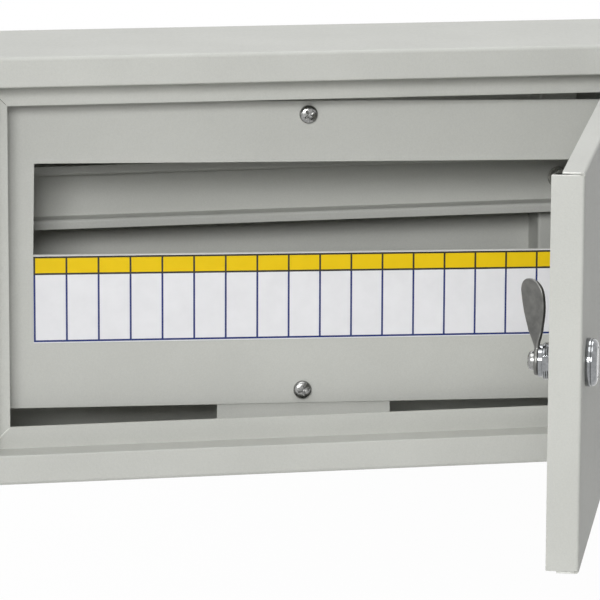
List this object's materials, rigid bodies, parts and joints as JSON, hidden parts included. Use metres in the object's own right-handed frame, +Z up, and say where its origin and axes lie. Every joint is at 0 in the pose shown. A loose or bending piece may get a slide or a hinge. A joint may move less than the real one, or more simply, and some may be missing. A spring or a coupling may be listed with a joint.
{
  "type": "wall enclosure",
  "caption": "Steel wall enclosure for modular devices, with a recessed hinged door and cam lock, a windowed inner cover and a mounting rail.",
  "frame": {"origin": "centre of the four wall holes, on the outer face of the back panel", "axes": "+X to the right seen from the front, +Y into the wall, +Z up; the door stands open at rest, towards -Y"},
  "size_m": [0.386, 0.4427, 0.23],
  "materials": {
    "body_paint": "light warm grey powder coat with a fine texture",
    "plated_steel": "zinc plated",
    "screw_steel": "bright zinc plated",
    "dark_steel": "dark steel, lightly oiled",
    "label_film": "printed film, satin",
    "bar_brass": "machined brass",
    "lock_chrome": "chrome plated"
  },
  "bodies": {
    "case": {"case_shell": "body_paint", "back_panel": "body_paint", "upper_hinge_pin": "plated_steel", "lower_hinge_pin": "plated_steel", "upper_hinge_spacer": "plated_steel", "lower_hinge_spacer": "plated_steel", "fascia_panel": "body_paint", "label_strip": "label_film", "fascia_screws": "screw_steel", "upper_fascia_bracket": "body_paint", "lower_fascia_bracket": "body_paint", "fascia_weld_nuts": "plated_steel", "din_rail": "body_paint", "left_rail_bracket": "body_paint", "right_rail_bracket": "body_paint", "rail_studs": "plated_steel", "rail_washers": "plated_steel", "rail_nuts": "dark_steel", "earth_bar": "bar_brass", "earth_bar_posts": "plated_steel", "bar_clamp_screws": "plated_steel", "bar_fixing_screws": "plated_steel", "earth_stud": "plated_steel", "earth_stud_washer": "plated_steel", "earth_stud_nut": "plated_steel"},
    "door": {"door_panel": "body_paint", "lock_housing": "lock_chrome", "lock_washer": "plated_steel", "lock_nut": "lock_chrome"},
    "lock": {"lock_core": "lock_chrome", "stop_ring": "lock_chrome", "cam_lever": "dark_steel", "cam_screw": "plated_steel"}
  },
  "joints": [
    {"name": "door_hinge", "type": "hinge", "parent": "case", "child": "door", "pos_m": [0.169, -0.11835, 0], "axis": [0, 0, 1], "range_deg": [-70.2, 35]},
    {"name": "cam_turn", "type": "hinge", "parent": "door", "child": "lock", "pos_m": [0.06684, -0.41583, 0.0008], "axis": [0.9409, -0.3387, 0], "range_deg": [0, 90]}
  ]
}
